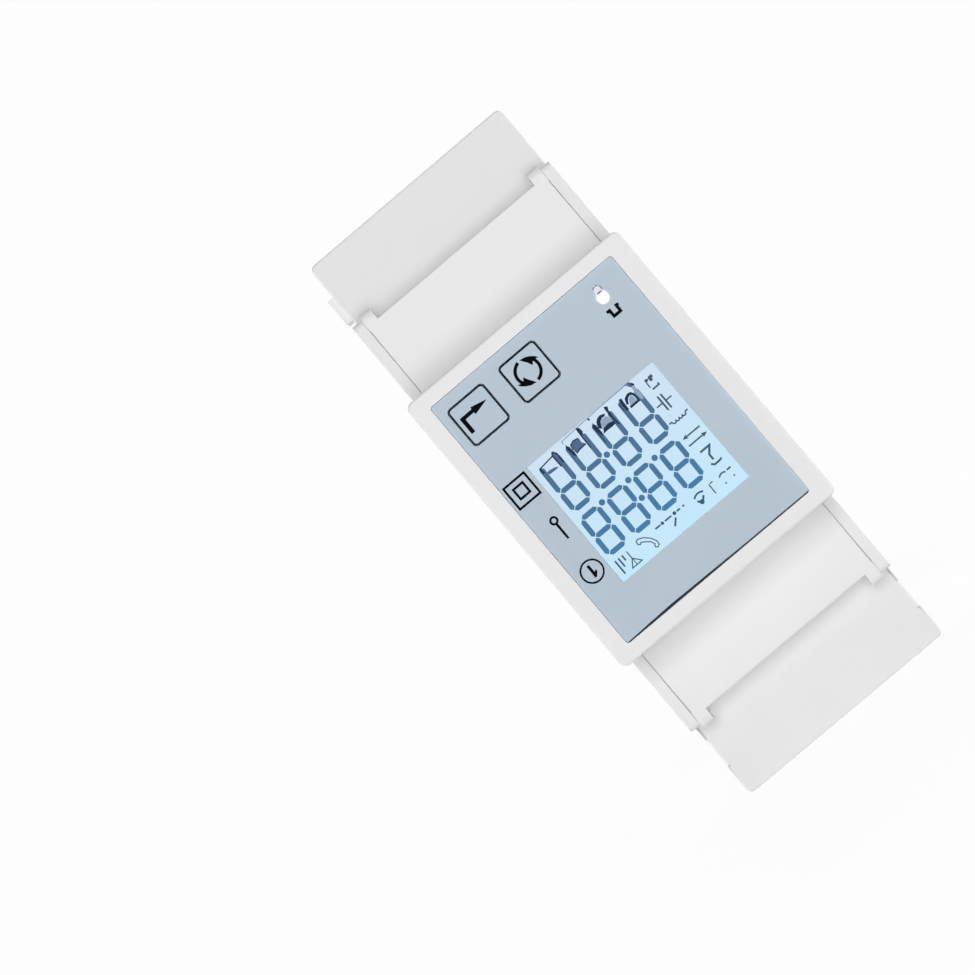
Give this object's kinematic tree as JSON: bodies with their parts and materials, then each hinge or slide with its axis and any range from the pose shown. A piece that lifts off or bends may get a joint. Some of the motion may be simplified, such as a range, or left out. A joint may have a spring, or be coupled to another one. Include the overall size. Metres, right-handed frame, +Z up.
{
  "type": "din rail energy meter",
  "caption": "Two-module DIN rail electricity meter with backlit LCD, two front keys, pulse lamp, hinged terminal covers, rising-cage screw terminals and a sprung rail clip.",
  "frame": {"origin": "middle of the rail recess on the rail seat, the plane of the front of the rail's lips", "axes": "+X across the width (right as seen from the front), +Y back towards the rail and the wall, +Z up along the length towards the top terminals"},
  "size_m": [0.0371, 0.065, 0.099],
  "materials": {
    "housing_white": "fine moulded texture, cool white",
    "cover_white": "smooth moulded, cool white",
    "plate_grey": "satin polycarbonate sheet, pale blue grey",
    "key_grey": "satin, pale blue grey",
    "clear_pane": "clear, flat",
    "display_glass": "lit display, pale light blue",
    "diffuser_white": "milky light guide",
    "frame_white": "moulded white",
    "lamp_clear": "clear lens",
    "rubber_grey": "striped elastomer",
    "board_green": "solder mask over glass laminate",
    "part_black": "moulded epoxy",
    "block_grey": "moulded, mid grey",
    "clip_dark": "moulded, dark grey",
    "zinc_steel": "bright zinc plated",
    "spring_steel": "drawn wire",
    "tinned_brass": "tin plated",
    "can_metal": "drawn can",
    "sleeve_black": "shrink sleeve",
    "film_yellow": "potted box",
    "disc_blue": "dipped coating",
    "core_grey": "ferrite",
    "ceramic_beige": "painted body"
  },
  "bodies": {
    "case": {"rear_housing": "housing_white", "front_housing": "housing_white", "din_clip_spring": "spring_steel", "faceplate": "plate_grey", "display_window": "clear_pane", "lcd_glass": "display_glass", "lcd_frame": "frame_white", "zebra_strips": "rubber_grey", "lcd_light_guide": "diffuser_white", "lcd_backlights": "lamp_clear", "display_board": "board_green", "display_board_screws": "zinc_steel", "display_controller": "part_black", "enter_switch": "part_black", "cycle_switch": "part_black", "pulse_lamp": "lamp_clear", "pulse_light_pipe": "lamp_clear", "main_board": "board_green", "main_board_screws": "zinc_steel", "board_header": "part_black", "metering_chip": "part_black", "quartz_crystal": "can_metal", "serial_driver": "part_black", "optocouplers": "part_black", "divider_resistors": "ceramic_beige", "supply_transformer": "core_grey", "buffer_capacitor": "sleeve_black", "mains_capacitor": "film_yellow", "varistor": "disc_blue", "fusible_resistor": "ceramic_beige", "supply_choke": "core_grey", "bridge_rectifier": "part_black", "top_terminal_block": "block_grey", "top_terminal_contacts": "tinned_brass", "bottom_terminal_block": "block_grey", "bottom_terminal_contacts": "tinned_brass"},
    "top_cover": {"top_terminal_cover": "cover_white"},
    "bottom_cover": {"bottom_terminal_cover": "cover_white"},
    "clip": {"din_clip": "clip_dark"},
    "enter_key": {"enter_key": "key_grey"},
    "cycle_key": {"cycle_key": "key_grey"},
    "enter_plunger": {"enter_plunger": "part_black"},
    "cycle_plunger": {"cycle_plunger": "part_black"},
    "top_screw_1": {"top_screw_1": "zinc_steel"},
    "top_cage_1": {"top_cage_1": "zinc_steel"},
    "top_screw_2": {"top_screw_2": "zinc_steel"},
    "top_cage_2": {"top_cage_2": "zinc_steel"},
    "top_screw_3": {"top_screw_3": "zinc_steel"},
    "top_cage_3": {"top_cage_3": "zinc_steel"},
    "top_screw_4": {"top_screw_4": "zinc_steel"},
    "top_cage_4": {"top_cage_4": "zinc_steel"},
    "bottom_screw_1": {"bottom_screw_1": "zinc_steel"},
    "bottom_cage_1": {"bottom_cage_1": "zinc_steel"},
    "bottom_screw_2": {"bottom_screw_2": "zinc_steel"},
    "bottom_cage_2": {"bottom_cage_2": "zinc_steel"},
    "bottom_screw_3": {"bottom_screw_3": "zinc_steel"},
    "bottom_cage_3": {"bottom_cage_3": "zinc_steel"},
    "bottom_screw_4": {"bottom_screw_4": "zinc_steel"},
    "bottom_cage_4": {"bottom_cage_4": "zinc_steel"}
  },
  "joints": [
    {"name": "top_cover_hinge", "type": "hinge", "parent": "case", "child": "top_cover", "pos_m": [0, -0.0432, 0.03665], "axis": [-1, 0, 0], "range_deg": [0, 120]},
    {"name": "bottom_cover_hinge", "type": "hinge", "parent": "case", "child": "bottom_cover", "pos_m": [0, -0.0432, -0.03535], "axis": [1, 0, 0], "range_deg": [0, 120]},
    {"name": "clip_slide", "type": "slide", "parent": "case", "child": "clip", "axis": [0, 0, -1], "range_m": [0, 0.0035], "stiffness_N_per_m": 700, "springref_m": -0.003, "deforming": ["din_clip_spring"]},
    {"name": "enter_key_slide", "type": "slide", "parent": "case", "child": "enter_key", "axis": [0, 1, 0], "range_m": [0, 0.0003], "stiffness_N_per_m": 2500, "springref_m": -0.0003},
    {"name": "enter_plunger_slide", "type": "slide", "parent": "case", "child": "enter_plunger", "axis": [0, 1, 0], "range_m": [0, 0.0003]},
    {"name": "cycle_key_slide", "type": "slide", "parent": "case", "child": "cycle_key", "axis": [0, 1, 0], "range_m": [0, 0.0003], "stiffness_N_per_m": 2500, "springref_m": -0.0003},
    {"name": "cycle_plunger_slide", "type": "slide", "parent": "case", "child": "cycle_plunger", "axis": [0, 1, 0], "range_m": [0, 0.0003]},
    {"name": "top_screw_1_turn", "type": "hinge", "parent": "case", "child": "top_screw_1", "pos_m": [-0.0117, -0.038, 0.0276], "axis": [0, 1, 0], "range_deg": [0, 1800.1]},
    {"name": "top_cage_1_lift", "type": "slide", "parent": "case", "child": "top_cage_1", "axis": [0, -1, 0], "range_m": [0, 0.0025]},
    {"name": "top_screw_2_turn", "type": "hinge", "parent": "case", "child": "top_screw_2", "pos_m": [-0.0039, -0.038, 0.0276], "axis": [0, 1, 0], "range_deg": [0, 1800.1]},
    {"name": "top_cage_2_lift", "type": "slide", "parent": "case", "child": "top_cage_2", "axis": [0, -1, 0], "range_m": [0, 0.0025]},
    {"name": "top_screw_3_turn", "type": "hinge", "parent": "case", "child": "top_screw_3", "pos_m": [0.0039, -0.038, 0.0276], "axis": [0, 1, 0], "range_deg": [0, 1800.1]},
    {"name": "top_cage_3_lift", "type": "slide", "parent": "case", "child": "top_cage_3", "axis": [0, -1, 0], "range_m": [0, 0.0025]},
    {"name": "top_screw_4_turn", "type": "hinge", "parent": "case", "child": "top_screw_4", "pos_m": [0.0117, -0.038, 0.0276], "axis": [0, 1, 0], "range_deg": [0, 1800.1]},
    {"name": "top_cage_4_lift", "type": "slide", "parent": "case", "child": "top_cage_4", "axis": [0, -1, 0], "range_m": [0, 0.0025]},
    {"name": "bottom_screw_1_turn", "type": "hinge", "parent": "case", "child": "bottom_screw_1", "pos_m": [-0.0117, -0.038, -0.0276], "axis": [0, 1, 0], "range_deg": [0, 1800.1]},
    {"name": "bottom_cage_1_lift", "type": "slide", "parent": "case", "child": "bottom_cage_1", "axis": [0, -1, 0], "range_m": [0, 0.0025]},
    {"name": "bottom_screw_2_turn", "type": "hinge", "parent": "case", "child": "bottom_screw_2", "pos_m": [-0.0039, -0.038, -0.0276], "axis": [0, 1, 0], "range_deg": [0, 1800.1]},
    {"name": "bottom_cage_2_lift", "type": "slide", "parent": "case", "child": "bottom_cage_2", "axis": [0, -1, 0], "range_m": [0, 0.0025]},
    {"name": "bottom_screw_3_turn", "type": "hinge", "parent": "case", "child": "bottom_screw_3", "pos_m": [0.0039, -0.038, -0.0276], "axis": [0, 1, 0], "range_deg": [0, 1800.1]},
    {"name": "bottom_cage_3_lift", "type": "slide", "parent": "case", "child": "bottom_cage_3", "axis": [0, -1, 0], "range_m": [0, 0.0025]},
    {"name": "bottom_screw_4_turn", "type": "hinge", "parent": "case", "child": "bottom_screw_4", "pos_m": [0.0117, -0.038, -0.0276], "axis": [0, 1, 0], "range_deg": [0, 1800.1]},
    {"name": "bottom_cage_4_lift", "type": "slide", "parent": "case", "child": "bottom_cage_4", "axis": [0, -1, 0], "range_m": [0, 0.0025]}
  ],
  "couplings": [
    {"joint": "enter_plunger_slide", "follows": "enter_key_slide", "ratio": 1},
    {"joint": "cycle_plunger_slide", "follows": "cycle_key_slide", "ratio": 1},
    {"joint": "top_screw_1_turn", "follows": "top_cage_1_lift", "rad_per_m": 12566},
    {"joint": "top_screw_2_turn", "follows": "top_cage_2_lift", "rad_per_m": 12566},
    {"joint": "top_screw_3_turn", "follows": "top_cage_3_lift", "rad_per_m": 12566},
    {"joint": "top_screw_4_turn", "follows": "top_cage_4_lift", "rad_per_m": 12566},
    {"joint": "bottom_screw_1_turn", "follows": "bottom_cage_1_lift", "rad_per_m": 12566},
    {"joint": "bottom_screw_2_turn", "follows": "bottom_cage_2_lift", "rad_per_m": 12566},
    {"joint": "bottom_screw_3_turn", "follows": "bottom_cage_3_lift", "rad_per_m": 12566},
    {"joint": "bottom_screw_4_turn", "follows": "bottom_cage_4_lift", "rad_per_m": 12566}
  ]
}
